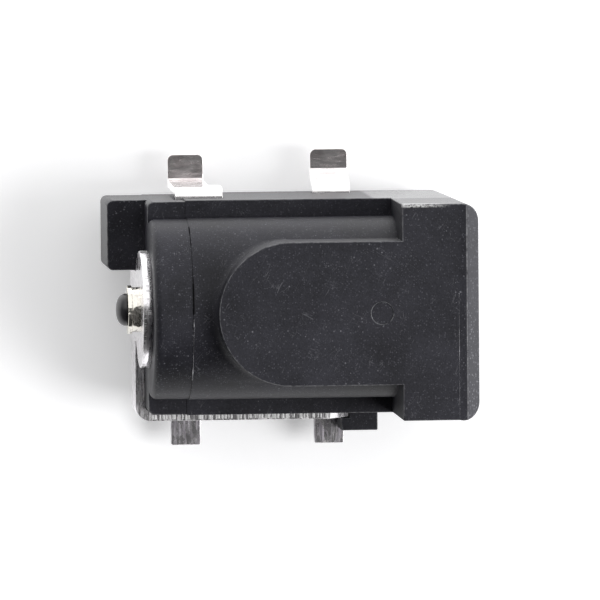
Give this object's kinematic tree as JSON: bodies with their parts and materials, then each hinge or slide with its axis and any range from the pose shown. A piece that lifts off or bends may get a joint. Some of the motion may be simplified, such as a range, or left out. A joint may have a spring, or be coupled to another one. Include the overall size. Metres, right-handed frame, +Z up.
{
  "type": "dc barrel jack",
  "caption": "Surface-mount barrel power jack with a moulded housing, a centre pin, a leaf-spring sleeve contact, a switch contact, solder feet and two locating pegs.",
  "frame": {"origin": "on the board plane (the housing's flat base), in the middle of the pattern of four solder feet", "axes": "+X towards the socket's mouth, the way the plug leaves; +Y towards the feet of the sleeve and switch contacts; +Z up from the board"},
  "size_m": [0.015, 0.0125, 0.0124],
  "materials": {
    "housing_plastic": "satin, fine moulded grain",
    "core_plastic": "smooth",
    "nickel_plate": "bright nickel plating on brass",
    "terminal_plate": "nickel plating on stamped brass",
    "tin_plate": "dull tin plating on spring brass"
  },
  "bodies": {
    "root": {"housing": "housing_plastic", "centre_pin": "nickel_plate", "pin_core": "core_plastic", "centre_terminal": "terminal_plate", "sleeve_contact": "tin_plate", "switch_contact": "tin_plate"}
  },
  "joints": []
}
